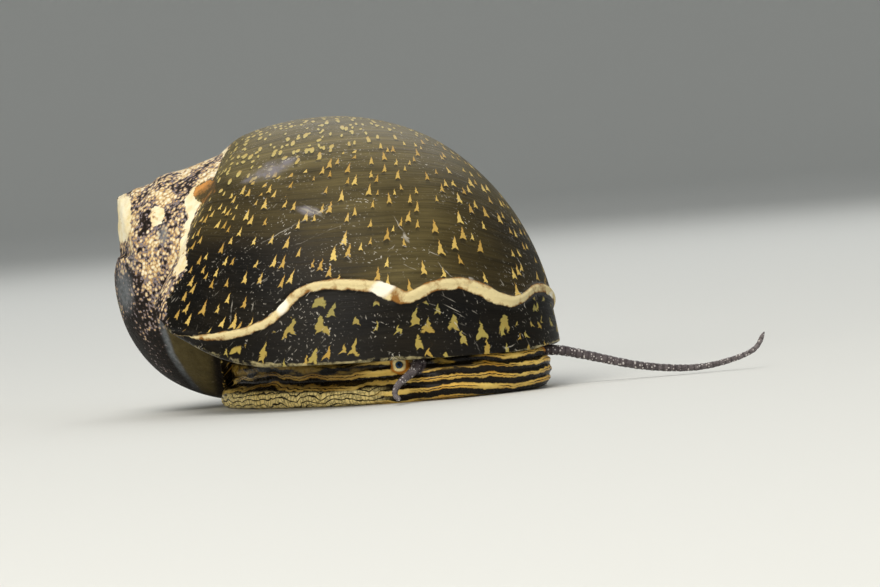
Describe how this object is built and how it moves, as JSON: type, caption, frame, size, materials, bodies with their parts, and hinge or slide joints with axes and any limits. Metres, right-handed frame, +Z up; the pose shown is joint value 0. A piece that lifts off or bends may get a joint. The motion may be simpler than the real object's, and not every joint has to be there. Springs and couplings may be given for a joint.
{
  "type": "nerite snail",
  "caption": "Life-size nerite snail at rest on its foot: a spotted, coiled dome shell over a broad flat foot, with feelers and eyes.",
  "frame": {"origin": "centre of the flat sole, on the floor", "axes": "+Z up; +X along the shell from its apex end towards its front end, the long way of the animal; +Y to the side away from the outer lip"},
  "size_m": [0.0365, 0.024, 0.016],
  "materials": {
    "shell": "glossy olive-brown with ochre flecks",
    "flesh": "moist",
    "eye": "wet",
    "operculum": "satin, horny"
  },
  "bodies": {
    "root": {"shell": "shell", "foot": "flesh", "body_column": "flesh", "head": "flesh", "eye_stalk_right": "flesh", "eye_stalk_left": "flesh", "eye_right": "eye", "eye_left": "eye", "feeler_left_1": "flesh", "feeler_left_2": "flesh", "feeler_left_3": "flesh", "feeler_right_1": "flesh", "feeler_right_2": "flesh", "operculum": "operculum"}
  },
  "joints": []
}
